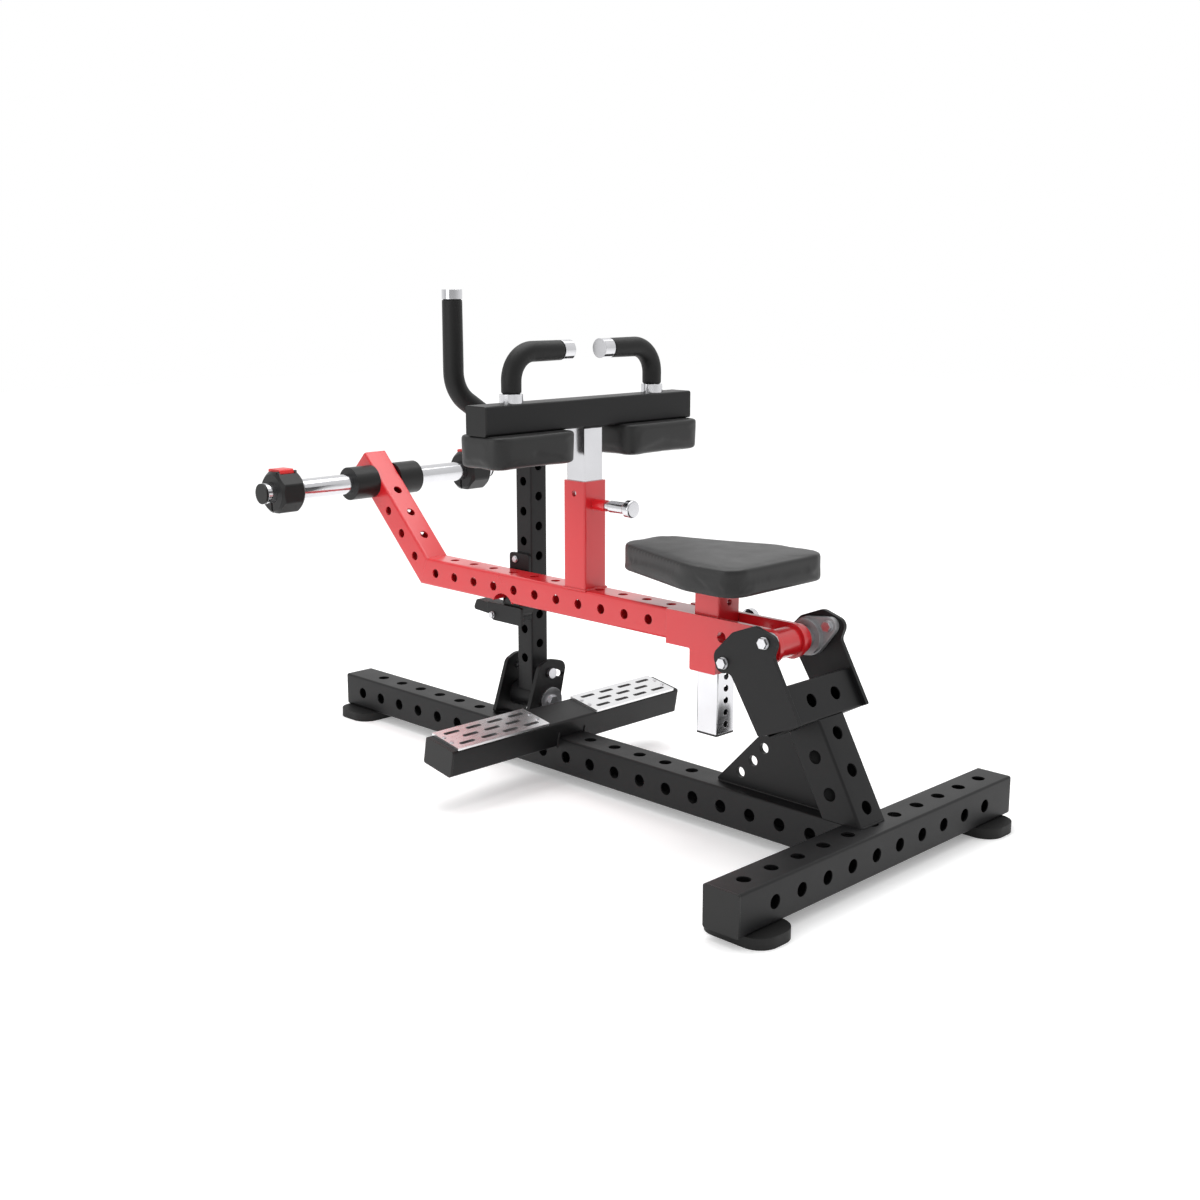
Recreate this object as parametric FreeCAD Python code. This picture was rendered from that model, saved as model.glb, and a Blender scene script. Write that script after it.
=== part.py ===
"""Plate-loaded seated calf-raise machine: base, bearing tower, swinging lever, seat, thigh pads and catch."""
import FreeCAD
import Part
import math
import os

V = FreeCAD.Vector
X, Y, Z = V(1, 0, 0), V(0, 1, 0), V(0, 0, 1)
os.makedirs("parts", exist_ok=True)

# Base frame. Y is measured from the rear beam's centre line towards the weights.
FOOT = 21.0                  # thickness of a foot
BASE = 80.0                  # outer side of the base tubes
BASE_WALL = 3.0
BASE_R = 5.0                 # outer corner radius of the base tubes
CAP = 5.0                    # thickness of an end cap
RAIL_END = 1603.0
BEAM_HALF = 435.0            # half the width of the rear beam, with its caps
BASE_HOLE = 27.0
BASE_PITCH = 75.0
REAR_FOOT = 151.0            # length of a rear foot along Y
FOOT_WIDTH = 104.0
FOOT_INSET = 20.0            # from a foot's side to the beam's end
FRONT_FOOT = 118.0
FRONT_FOOT_WIDTH = 160.0
RAIL_TOP = FOOT + BASE
RAIL_MID = FOOT + BASE / 2

# Footrest
STEP_Y = 853.0
STEP_Z = 117.0
STEP_TILT = 10.3             # degrees, front edge up
STEP_DEEP = 89.0
STEP_HIGH = 60.0
STEP_HALF = 349.0
TREAD_IN = 73.0
TREAD_OUT = 334.0
TREAD = 5.0
SLOT_LONG = 42.0
SLOT_WIDE = 10.0
SLOT_PITCH = 61.0
SLOT_ROW = 26.0

# Bearing tower
LEAN = 61.2                  # degrees from the floor
TOWER_LONG = 216.8
HEAD_HALF = 101.0            # half the width of the cross tube between the cheeks
CHEEK = 9.0
PIVOT_Y = 228.0
PIVOT_Z = 411.0
SHAFT = 30.0
RING = 46.0                  # outside of the bearing's inner ring
RUN = 0.05                   # radial running clearance
FLANGE_SPACING = 113.0
FLANGE_ANGLE = -29.7         # degrees of the flange's bolt line from the horizontal
GUSSET = 10.0

# Lever
ARM = 65.0
ARM_WALL = 4.0
ARM_Z = 413.0
ARM_HOLE = 21.5
ARM_PITCH = 69.4
BEND_Y = 1286.5              # where the two centre lines meet
RISE = 45.1                  # degrees
RISER_LONG = 345.0
SIDE = 10.0                  # thickness of the plates beside the arm
HUB = 60.0
HUB_HALF = 62.0
CATCH_Y = 1002.0
SADDLE_Z = 365.0
SADDLE_R = 37.0
SADDLE_WALL = 2.0

# Posts and sleeves
SLEEVE = 65.0
POST = 55.0
POST_WALL = 3.0
SLIP = 0.3                   # gap between a post and its sleeve, each side
SEAT_Y = 389.0
SEAT_SLEEVE_LOW = 331.0
SEAT_SLEEVE_TOP = 497.0
SEAT_POST_LOW = 202.0
CUSHION_LOW = 518.0
CUSHION_HIGH = 57.0
THIGH_Y = 766.0
THIGH_SLEEVE_TOP = 680.0
THIGH_POST_LOW = 455.0
PAD_LOW = 728.0
PAD_HIGH = 67.0
THIGH_BEAM = 60.0
THIGH_HALF = 304.0
PIN = 12.0
PIN_HOLE = 13.0
PIN_TRAVEL = 10.0
KNOB = 38.0
KNOB_NECK = 26.0
PIN_PITCH = 25.0
SEAT_PIN_Z = 420.0
THIGH_PIN_Z = 630.0

# Horn and clips
HORN = 49.0
HORN_HALF = 348.0
HORN_CAP = 6.0
HORN_DOWN = 65.0             # from the riser's end to the horn's centre
COLLAR = 80.0
COLLAR_END = 100.0
CLIP_FLATS = 96.0
CLIP_IN = 255.0
CLIP_LONG = 65.0

# Handles
GRIP = 42.0
BAR = 32.0
HANDLE_X = 208.0
HANDLE_Z = 957.0
HANDLE_BEND = 58.0
HANDLE_END = 45.0
GRIP_CAP = 28.0

# Catch
CATCH_X = 72.0
CATCH_POST_Y = 1015.0
CATCH_PIVOT_Z = 136.0
CATCH = 50.0
CATCH_TOP = 742.0
BARREL = 60.0
PIVOT_BOLT = 24.0
EAR_GAP = 50.0               # from the post's centre to an ear's inner face
EAR = 10.0
SLOT_R = 67.0                # from the pivot to the stop bolt
STOP_BOLT = 14.0
SWING = 30.0                 # degrees
GRIP_X = -152.0
GRIP_TOP = 1079.0
CORNER_Z = 862.0
CATCH_SLOPE = 33.0           # degrees
CATCH_BEND = 80.0

MIDDLE_Y = (RAIL_END - REAR_FOOT / 2) / 2    # the origin is under the middle of the whole machine


nodes = {}


def save(name, *solids):
    """Add solids to a node. Like pieces of one body share a node as separate solids."""
    nodes.setdefault(name, []).extend(solids)


def box(x0, x1, y0, y1, z0, z1):
    return Part.makeBox(x1 - x0, y1 - y0, z1 - z0, V(x0, y0, z0))


def rod(diameter, start, end):
    """Round bar between two points."""
    return Part.makeCylinder(diameter / 2, (end - start).Length, start, end - start)


def ring(outer, inner, start, end):
    return rod(outer, start, end).cut(rod(inner, start, end))


def cut(shape, tools):
    return shape.cut(Part.makeCompound(tools)) if tools else shape


def plate(corners, plane, low, high):
    """Flat plate from low to high across its plane. A corner is (u, v) or (u, v, radius)."""
    put = {"yz": lambda u, v: V(low, u, v), "xz": lambda u, v: V(u, low, v), "xy": lambda u, v: V(u, v, low)}[plane]
    points = [put(c[0], c[1]) for c in corners]
    radii = [c[2] if len(c) > 2 else 0 for c in corners]
    bends = []
    for i, here in enumerate(points):
        before = points[i - 1] - here
        after = points[(i + 1) % len(points)] - here
        half = before.getAngle(after) / 2
        radius = min(radii[i], 0.49 * min(before.Length, after.Length) * math.tan(half))
        back = radius / math.tan(half)
        before.normalize()
        after.normalize()
        middle = before + after
        if radius > 0:
            middle.normalize()
            bends.append((here + before * back, here + middle * (radius / math.sin(half) - radius),
                          here + after * back))
        else:
            bends.append((here, here, here))
    edges = []
    for i, (start, middle, end) in enumerate(bends):
        if (end - start).Length > 1e-6:
            edges.append(Part.Arc(start, middle, end).toShape())
        following = bends[(i + 1) % len(bends)][0]
        if (following - end).Length > 1e-6:
            edges.append(Part.LineSegment(end, following).toShape())
    across = {"yz": X, "xz": Y, "xy": Z}[plane]
    return Part.Face(Part.Wire(edges)).extrude(across * (high - low))


def square(side_u, side_v, radius, low, high):
    """Upright bar of rounded rectangular section, centred on Z."""
    u, v = side_u / 2, side_v / 2
    return plate([(-u, -v, radius), (u, -v, radius), (u, v, radius), (-u, v, radius)], "xy", low, high)


def laid(shape, origin, along, up):
    """Move a shape made along +Z, so that its Z runs along one direction and its Y another."""
    turn = FreeCAD.Rotation(up.cross(along), up, along, "ZYX")
    shape.Placement = FreeCAD.Placement(origin, turn).multiply(shape.Placement)
    return shape


def tube(side_u, side_v, wall, radius, origin, along, up, length):
    """Square tube from origin along a direction; side_v is measured along up."""
    body = square(side_u, side_v, radius, 0, length)
    body = body.cut(square(side_u - 2 * wall, side_v - 2 * wall, max(radius - wall, 1), -1, length + 1))
    return laid(body, origin, along, up)


def drilled(shape, centres, across, diameter, reach):
    """Holes through a shape, each as deep as reach on both sides of its centre."""
    return cut(shape, [rod(diameter, c - across * reach, c + across * reach) for c in centres])


def mirrored(shape):
    return shape.mirror(V(0, 0, 0), X)


def end_cap(side_u, side_v, wall, radius, origin, along, up, thick=CAP):
    """Plastic cap over a tube's open end, with a plug that sits inside the wall."""
    cover = square(side_u, side_v, radius, 0, thick)
    plug = square(side_u - 2 * wall, side_v - 2 * wall, max(radius - wall, 1), -12, 0)
    return laid(cover.fuse(plug).removeSplitter(), origin, along, up)


def swept(points, bend, diameter):
    """Round bar along straight runs joined by arcs of one bend radius."""
    edges = []
    last = points[0]
    for i in range(1, len(points) - 1):
        before = points[i - 1] - points[i]
        after = points[i + 1] - points[i]
        half = before.getAngle(after) / 2
        before.normalize()
        after.normalize()
        middle = before + after
        middle.normalize()
        back = bend / math.tan(half)
        start = points[i] + before * back
        end = points[i] + after * back
        edges.append(Part.LineSegment(last, start).toShape())
        edges.append(Part.Arc(start, points[i] + middle * (bend / math.sin(half) - bend), end).toShape())
        last = end
    edges.append(Part.LineSegment(last, points[-1]).toShape())
    circle = Part.Wire([Part.makeCircle(diameter / 2, points[0], points[1] - points[0])])
    return Part.Wire(edges).makePipeShell([circle], True, False)


def hex_bolt(across_flats, high, origin, along):
    """Hexagon head standing on origin, with its washer."""
    spots = []
    for k in range(6):
        angle = math.radians(60 * k)
        reach = across_flats / math.sqrt(3)
        spots.append((reach * math.cos(angle), reach * math.sin(angle)))
    head = plate(spots, "xy", 2, high)
    head = head.fuse(Part.makeCylinder(across_flats * 0.62, 2)).removeSplitter()
    side = Z if abs(along.z) < 0.9 else Y
    return laid(head, origin, along, side)


# ---- base frame -------------------------------------------------------------------------------------
rail = tube(BASE, BASE, BASE_WALL, BASE_R, V(0, BASE / 2, RAIL_MID), Y, Z, RAIL_END - CAP - BASE / 2)
rail = drilled(rail, [V(0, 112.5 + BASE_PITCH * k, RAIL_MID) for k in range(20)], X, BASE_HOLE, BASE)
rail = drilled(rail, [V(0, 450 + BASE_PITCH * k, RAIL_TOP) for k in range(15)], Z, BASE_HOLE, 10)
save("main_rail", rail)
save("base_caps", end_cap(BASE, BASE, BASE_WALL, BASE_R, V(0, RAIL_END - CAP, RAIL_MID), Y, Z))

beam = tube(BASE, BASE, BASE_WALL, BASE_R, V(CAP - BEAM_HALF, 0, RAIL_MID), X, Z, 2 * (BEAM_HALF - CAP))
beam = drilled(beam, [V(BASE_PITCH * (k - 4.5), -BASE / 2, RAIL_MID) for k in range(10)], Y, BASE_HOLE, 10)
beam = drilled(beam, [V(BASE_PITCH * (k - 5), 0, RAIL_TOP) for k in range(11)], Z, BASE_HOLE, 10)
save("rear_beam", beam)
for side in (-1, 1):
    save("base_caps", end_cap(BASE, BASE, BASE_WALL, BASE_R, V(side * (BEAM_HALF - CAP), 0, RAIL_MID), X * side, Z))
    middle = side * (BEAM_HALF - FOOT_INSET - FOOT_WIDTH / 2)
    u, v = FOOT_WIDTH / 2, REAR_FOOT / 2
    foot = plate([(middle - u, -v, 40), (middle + u, -v, 40), (middle + u, v, 40), (middle - u, v, 40)],
                 "xy", 0, FOOT)
    save("feet", foot)
u, far = FRONT_FOOT_WIDTH / 2, RAIL_END - 3
save("feet", plate([(-u, far - FRONT_FOOT, 40), (u, far - FRONT_FOOT, 40), (u, far, 40), (-u, far, 40)], "xy", 0,
                   FOOT))

# ---- footrest: a tilted box tube saddled over the rail, with two slotted treads ---------------------
tilt = math.radians(STEP_TILT)
deep = V(0, math.cos(tilt), math.sin(tilt))
high = V(0, -math.sin(tilt), math.cos(tilt))
step_mid = V(0, STEP_Y, STEP_Z)
step = tube(STEP_DEEP, STEP_HIGH, BASE_WALL, BASE_R, step_mid - X * (STEP_HALF - CAP), X, high,
            2 * (STEP_HALF - CAP))
rail_space = box(-BASE / 2, BASE / 2, STEP_Y - 100, STEP_Y + 100, 0, RAIL_TOP)
save("footrest_beam", step.cut(rail_space))
for side, name in ((-1, "left"), (1, "right")):
    save("base_caps", end_cap(STEP_DEEP, STEP_HIGH, BASE_WALL, BASE_R, step_mid + X * side * (STEP_HALF - CAP),
                              X * side, high))
    tread = plate([(TREAD_IN, -STEP_DEEP / 2, 3), (TREAD_OUT, -STEP_DEEP / 2, 3), (TREAD_OUT, STEP_DEEP / 2, 3),
                   (TREAD_IN, STEP_DEEP / 2, 3)], "xy", 0, TREAD)
    slots = []
    for row, count in ((-1, 4), (0, 3), (1, 4)):
        for k in range(count):
            at = V((TREAD_IN + TREAD_OUT) / 2 + SLOT_PITCH * (k - (count - 1) / 2), SLOT_ROW * row, 0)
            slot = square(SLOT_LONG, SLOT_WIDE, SLOT_WIDE / 2, -1, TREAD + 1)
            slot.translate(at)
            slots.append(slot)
    tread = cut(tread, slots)
    screws = []
    for along, row in ((-1, -0.5), (-1, 0.5), (1, -0.5), (1, 0.5)):
        at = V((TREAD_IN + TREAD_OUT) / 2 + along * (TREAD_OUT - TREAD_IN - 16) / 2, SLOT_ROW * row, TREAD)
        screws.append(Part.makeCylinder(4.5, 1.5, at))
    place = FreeCAD.Placement(step_mid + high * (STEP_HIGH / 2), FreeCAD.Rotation(X, STEP_TILT))
    parts = []
    for piece in [tread] + screws:
        if side < 0:
            piece = mirrored(piece)
        piece.Placement = place.multiply(piece.Placement)
        parts.append(piece)
    save("tread_" + name, parts[0])
    save("tread_screws", *parts[1:])

# ---- bearing tower ----------------------------------------------------------------------------------
lean = math.radians(LEAN)
up_slope = V(0, math.cos(lean), math.sin(lean))
off_slope = V(0, math.sin(lean), -math.cos(lean))      # from the rear face towards the front
heel = V(0, -4, RAIL_TOP)                               # bottom of the rear face
core = heel + off_slope * (BASE / 2)
tower = tube(BASE, BASE, BASE_WALL, BASE_R, core - up_slope * 60, up_slope, off_slope, TOWER_LONG + 60)
tower = tower.cut(box(-BASE, BASE, -200, 400, -100, RAIL_TOP))
tower = drilled(tower, [heel + up_slope * (34 + BASE_PITCH * k) for k in range(3)], off_slope, BASE_HOLE, 10)
tower = drilled(tower, [core + up_slope * (80 + BASE_PITCH * k) for k in range(2)], X, BASE_HOLE, BASE)
save("tower_tube", tower)
head_mid = core + up_slope * (TOWER_LONG + BASE / 2)
head = tube(BASE, BASE, BASE_WALL, BASE_R, head_mid - X * HEAD_HALF, X, up_slope, 2 * HEAD_HALF)
head = drilled(head, [head_mid - off_slope * (BASE / 2) + X * BASE_PITCH * s for s in (-0.5, 0.5)], off_slope,
               BASE_HOLE, 10)
save("tower_head", head)
front = heel + off_slope * BASE
weld_low = front + up_slope * (BASE / math.tan(lean))
weld_top = front + up_slope * (TOWER_LONG - 3.9)
gusset = plate([(weld_low.y, RAIL_TOP), (380, RAIL_TOP, 4), (273, RAIL_TOP + 112, 10), (weld_top.y, weld_top.z)],
               "yz", -GUSSET / 2, GUSSET / 2)
gusset = drilled(gusset, [V(0, 316, RAIL_TOP + 29), V(0, 284, RAIL_TOP + 60), V(0, 257, RAIL_TOP + 92)], X, 22,
                 GUSSET)
save("tower_gusset", gusset)

line = math.radians(FLANGE_ANGLE)
along = V(0, math.cos(line), math.sin(line))
square_to = V(0, -math.sin(line), math.cos(line))
pivot = V(0, PIVOT_Y, PIVOT_Z)
ears = [pivot + along * (FLANGE_SPACING / 2) * s for s in (-1, 1)]
outline = [(91, 295, 3), (158, 414, 12), (145, 450, 22), (203, 468, 26), (256, 447, 22), (305, 397, 22),
           (291, 360, 22), (260, 366, 14), (188, 254, 6)]
flange_out, flange_back, boss_in = HEAD_HALF, 89.0, 79.0
for side, name in ((-1, "left"), (1, "right")):
    cheek = plate(outline, "yz", HEAD_HALF, HEAD_HALF + CHEEK)
    cheek = drilled(cheek, ears, X, 14, 200)
    big, small, gap = 39.0, 17.0, FLANGE_SPACING / 2
    flange = rod(2 * big, pivot + X * flange_back, pivot + X * flange_out)
    turn = math.acos((big - small) / gap)
    corners = []
    for centre, radius, sense in ((-gap, small, -1), (0, big, -1), (0, big, 1), (gap, small, 1)):
        for way in (-1, 1):
            corners.append((centre + sense * radius * math.cos(turn), way * radius * math.sin(turn)))
    hull = [corners[k] for k in (0, 2, 4, 6, 7, 5, 3, 1)]
    flat = [(PIVOT_Y + a * along.y + b * square_to.y, PIVOT_Z + a * along.z + b * square_to.z) for a, b in hull]
    flange = flange.fuse([plate(flat, "yz", flange_back, flange_out)]
                         + [rod(2 * small, e + X * flange_back, e + X * flange_out) for e in ears]
                         + [rod(72, pivot + X * boss_in, pivot + X * flange_back)]).removeSplitter()
    flange = drilled(flange, ears, X, 12, 200)
    flange = drilled(flange, [pivot], X, RING + 2 * RUN, 200)
    bolts = []
    for e in ears:
        shank = rod(12, e + X * (flange_back - 8), e + X * (HEAD_HALF + CHEEK))
        outside = hex_bolt(19, 9, e + X * (HEAD_HALF + CHEEK), X)
        inside = hex_bolt(19, 10, e + X * flange_back, -X)
        bolts.append(shank.fuse([outside, inside]).removeSplitter())
    inner = ring(RING, SHAFT, pivot + X * HUB_HALF, pivot + X * (HEAD_HALF - 2))
    pieces = [("tower_cheek_" + name, [cheek]), ("bearing_housing_" + name, [flange]), ("bearing_bolts", bolts),
              ("bearing_rings", [inner])]
    for label, solids in pieces:
        save(label, *[s if side > 0 else mirrored(s) for s in solids])
save("pivot_shaft", rod(SHAFT, pivot - X * 100, pivot + X * 100))

# ---- lever ------------------------------------------------------------------------------------------
half = ARM / 2
sleeve_front = SEAT_Y + SLEEVE / 2
rise = math.radians(RISE)
riser_dir = V(0, math.cos(rise), math.sin(rise))
riser_up = V(0, -math.sin(rise), math.cos(rise))
corner = V(0, BEND_Y, ARM_Z)
bisect = V(0, math.cos(rise / 2), math.sin(rise / 2))
beyond = laid(Part.makeBox(400, 400, 400, V(-200, -200, 0)), corner, bisect, X)
short_of = laid(Part.makeBox(400, 400, 400, V(-200, -200, -400)), corner, bisect, X)
arm = tube(ARM, ARM, ARM_WALL, 6, V(0, sleeve_front, ARM_Z), Y, Z, BEND_Y + 60 - sleeve_front).cut(beyond)
arm = drilled(arm, [V(0, 547 + ARM_PITCH * k, ARM_Z) for k in range(11)], X, ARM_HOLE, ARM)
arm = drilled(arm, [V(0, 512 + ARM_PITCH * k, ARM_Z + half) for k in range(11)], Z, ARM_HOLE, 10)
arm = arm.cut(rod(2 * SADDLE_R, V(-ARM, CATCH_Y, SADDLE_Z), V(ARM, CATCH_Y, SADDLE_Z)))
save("lever_arm", arm)
riser = tube(ARM, ARM, ARM_WALL, 6, corner - riser_dir * 80, riser_dir, riser_up, RISER_LONG + 80 - CAP)
riser = riser.cut(short_of)
horn_at = corner + riser_dir * (RISER_LONG - HORN_DOWN)
riser = drilled(riser, [corner + riser_dir * (46 + 70 * k) for k in range(3)], X, ARM_HOLE, ARM)
riser = drilled(riser, [corner + riser_up * half + riser_dir * (82 + 70 * k) for k in range(3)], riser_up,
                ARM_HOLE, 10)
riser = drilled(riser, [horn_at], X, HORN, ARM)
save("lever_riser", riser)
save("lever_riser", end_cap(ARM, ARM, ARM_WALL, 6, corner + riser_dir * (RISER_LONG - CAP), riser_dir, riser_up))
saddle = ring(2 * SADDLE_R, 2 * (SADDLE_R - SADDLE_WALL), V(-half, CATCH_Y, SADDLE_Z), V(half, CATCH_Y, SADDLE_Z))
save("lever_arm", saddle.common(box(-ARM, ARM, 0, 2000, ARM_Z - half, ARM_Z + half)))

top, low, round_end = PIVOT_Z + 36, PIVOT_Z - 36, 35.9
lobe = SLEEVE / 2 + 2
wing = [(488, top), (PIVOT_Y - 36, top, round_end), (PIVOT_Y - 36, low, round_end), (SEAT_Y - lobe, low, 5),
        (SEAT_Y - lobe, SEAT_SLEEVE_LOW, 4), (SEAT_Y + lobe, SEAT_SLEEVE_LOW, 4), (SEAT_Y + lobe, low, 3),
        (488, low)]
for side in (-1, 1):
    side_plate = plate(wing, "yz", half, half + SIDE)
    side_plate = drilled(side_plate, [pivot], X, HUB, 200)
    side_plate = drilled(side_plate, [V(0, 340, PIVOT_Z)], X, 22, 200)
    if side > 0:
        side_plate = drilled(side_plate, [V(0, SEAT_Y, SEAT_PIN_Z)], X, PIN_HOLE, 200)
    save("lever_plates", side_plate if side > 0 else mirrored(side_plate))
save("lever_hub", ring(HUB, SHAFT, pivot - X * HUB_HALF, pivot + X * HUB_HALF))

inside = POST + 2 * SLIP
wall = (SLEEVE - inside) / 2
seat_wall = (ARM - inside) / 2          # the seat sleeve is as wide as the gap between the side plates


def sleeve(across, y, low, high):
    body = square(across, SLEEVE, 5, low, high).cut(square(inside, inside, 3, low - 1, high + 1))
    body.translate(V(0, y, 0))
    return body


def post(y, low, high, holes, across):
    body = square(POST, POST, 4, low, high)
    body = body.cut(square(POST - 2 * POST_WALL, POST - 2 * POST_WALL, 2, low - 1, high + 1))
    body.translate(V(0, y, 0))
    return drilled(body, holes, across, PIN_HOLE + 1, POST_WALL + 2)


seat_sleeve = drilled(sleeve(ARM, SEAT_Y, SEAT_SLEEVE_LOW, SEAT_SLEEVE_TOP), [V(half, SEAT_Y, SEAT_PIN_Z)], X,
                      PIN_HOLE, seat_wall + 4)
save("seat_sleeve", drilled(seat_sleeve, [V(0, SEAT_Y - SLEEVE / 2, 473)], Y, PIN_HOLE, wall + 4))
thigh_sleeve = drilled(sleeve(SLEEVE, THIGH_Y, ARM_Z + half, THIGH_SLEEVE_TOP),
                       [V(0, THIGH_Y - SLEEVE / 2, THIGH_PIN_Z)], Y, PIN_HOLE, wall + 4)
save("thigh_sleeve", drilled(thigh_sleeve, [V(-SLEEVE / 2, THIGH_Y, 653)], X, PIN_HOLE, wall + 4))


def pull_pin(name, face, out, neck, knob_end, depth):
    """Boss and barrel fixed to a sleeve, with a plunger and its knob that slide through them. The plunger's
    tip is at depth behind the face that the boss stands on."""
    boss_end = face + out * neck
    save("pin_bosses", ring(24, PIN + 2 * RUN * 4, face, boss_end))
    save("pin_barrels", ring(20, PIN + 2 * RUN * 4, boss_end, boss_end + out * 22))
    end = face + out * knob_end
    start = boss_end + out * 13
    save(name, rod(PIN, face - out * depth, end - out * 6))
    flare = (end - start).Length - 24
    knob = rod(KNOB_NECK, start, start + out * flare)
    knob = knob.fuse(Part.makeCone(KNOB_NECK / 2, KNOB / 2, 8, start + out * flare, out))
    knob = knob.fuse(rod(KNOB, start + out * (flare + 8), end)).removeSplitter()
    knob = knob.makeFillet(4, [e for e in knob.Edges if (e.CenterOfMass - end).Length < 0.01])
    knob = knob.cut(rod(20.8, start - out, boss_end + out * 24 + out * PIN_TRAVEL))
    save(name, knob.cut(rod(PIN, start, end - out * 6)))


pull_pin("thigh_pin", V(0, THIGH_Y - SLEEVE / 2, THIGH_PIN_Z), -Y, 35, 113, wall - 0.5)
pull_pin("seat_pin", V(half + SIDE, SEAT_Y, SEAT_PIN_Z), X, 20, 73, SIDE + seat_wall - 0.5)

# ---- weight horn and clips --------------------------------------------------------------------------
bar_half = HORN_HALF - HORN_CAP
save("weight_horn", rod(HORN, horn_at - X * bar_half, horn_at + X * bar_half))
for side, name in ((-1, "left"), (1, "right")):
    out = X * side
    save("horn_collars", ring(COLLAR, HORN, horn_at + out * half, horn_at + out * COLLAR_END))
    cap = rod(HORN - 1, horn_at + out * bar_half, horn_at + out * HORN_HALF)
    save("horn_caps", cap)
    reach = CLIP_FLATS / 2
    cut_back = reach * math.tan(math.radians(22.5))
    eight = [(reach, -cut_back), (reach, cut_back), (cut_back, reach), (-cut_back, reach), (-reach, cut_back),
             (-reach, -cut_back), (-cut_back, -reach), (cut_back, -reach)]
    spots = [(horn_at.y + a, horn_at.z + b, 3) for a, b in eight]
    clip = plate(spots, "yz", CLIP_IN, CLIP_IN + CLIP_LONG)
    stock = rod(CLIP_FLATS * 1.06, horn_at + X * CLIP_IN, horn_at + X * (CLIP_IN + CLIP_LONG))
    stock = stock.makeChamfer(8, [e for e in stock.Edges if e.BoundBox.XLength < 0.01])
    clip = clip.common(stock)
    clip = clip.cut(rod(HORN + 2 * SLIP, horn_at, horn_at + X * 600))
    seat_top = horn_at.z + reach
    clip = clip.cut(box(0, 600, horn_at.y - 3, horn_at.y + 3, horn_at.z - 60, horn_at.z))
    clip = clip.cut(box(CLIP_IN + 12, CLIP_IN + CLIP_LONG - 12, horn_at.y - 24, horn_at.y + 30, seat_top - 8,
                        seat_top + 1))
    hinge = V(0, horn_at.y - 14, seat_top - 1)
    latch = plate([(horn_at.y - 20, seat_top - 7, 3), (horn_at.y + 26, seat_top - 7, 3),
                   (horn_at.y + 30, seat_top + 5, 4), (horn_at.y - 16, seat_top + 6, 5)], "yz",
                  CLIP_IN + 13, CLIP_IN + CLIP_LONG - 13)
    latch = latch.cut(rod(6.2, hinge, hinge + X * 600))
    hinge_pin = rod(6, hinge + X * (CLIP_IN + 4), hinge + X * (CLIP_IN + CLIP_LONG - 4))
    clip = clip.cut(hinge_pin)
    for label, solid in (("clip_body_", clip), ("clip_latch_", latch), ("clip_body_", hinge_pin)):
        save(label + name, solid if side > 0 else mirrored(solid))

# ---- seat -------------------------------------------------------------------------------------------
seat_post_top = CUSHION_LOW - 8
back_holes = [V(0, SEAT_Y - POST / 2, SEAT_POST_LOW + 18 + PIN_PITCH * k) for k in range(7)]
seat_post = post(SEAT_Y, SEAT_POST_LOW, seat_post_top, back_holes, Y)
save("seat_post", drilled(seat_post, [V(POST / 2, SEAT_Y, SEAT_PIN_Z - PIN_PITCH * k) for k in range(7)], X,
                          PIN_HOLE + 1, POST_WALL + 2))
post_plug = square(POST - 2 * POST_WALL, POST - 2 * POST_WALL, 2, SEAT_POST_LOW, SEAT_POST_LOW + 14)
plug_cover = square(POST, POST, 4, SEAT_POST_LOW - 4, SEAT_POST_LOW)
plug = plug_cover.fuse(post_plug).removeSplitter()
plug.translate(V(0, SEAT_Y, 0))
save("seat_post_plug", plug)
save("seat_plate", plate([(-80, SEAT_Y - 90, 12), (80, SEAT_Y - 90, 12), (60, SEAT_Y + 110, 12),
                          (-60, SEAT_Y + 110, 12)], "xy", seat_post_top, CUSHION_LOW))
bolts = []
for sx, dy in ((-1, -70), (1, -70), (-0.75, 85), (0.75, 85)):
    bolts.append(hex_bolt(13, 8, V(62 * sx, SEAT_Y + dy, seat_post_top), -Z))
save("seat_bolts", *bolts)
cushion = plate([(-150, 222, 45), (150, 222, 45), (150, 350, 120), (66, 602, 56), (-66, 602, 56),
                 (-150, 350, 120)], "xy", CUSHION_LOW, CUSHION_LOW + CUSHION_HIGH)
save("seat_cushion", cushion)

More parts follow.
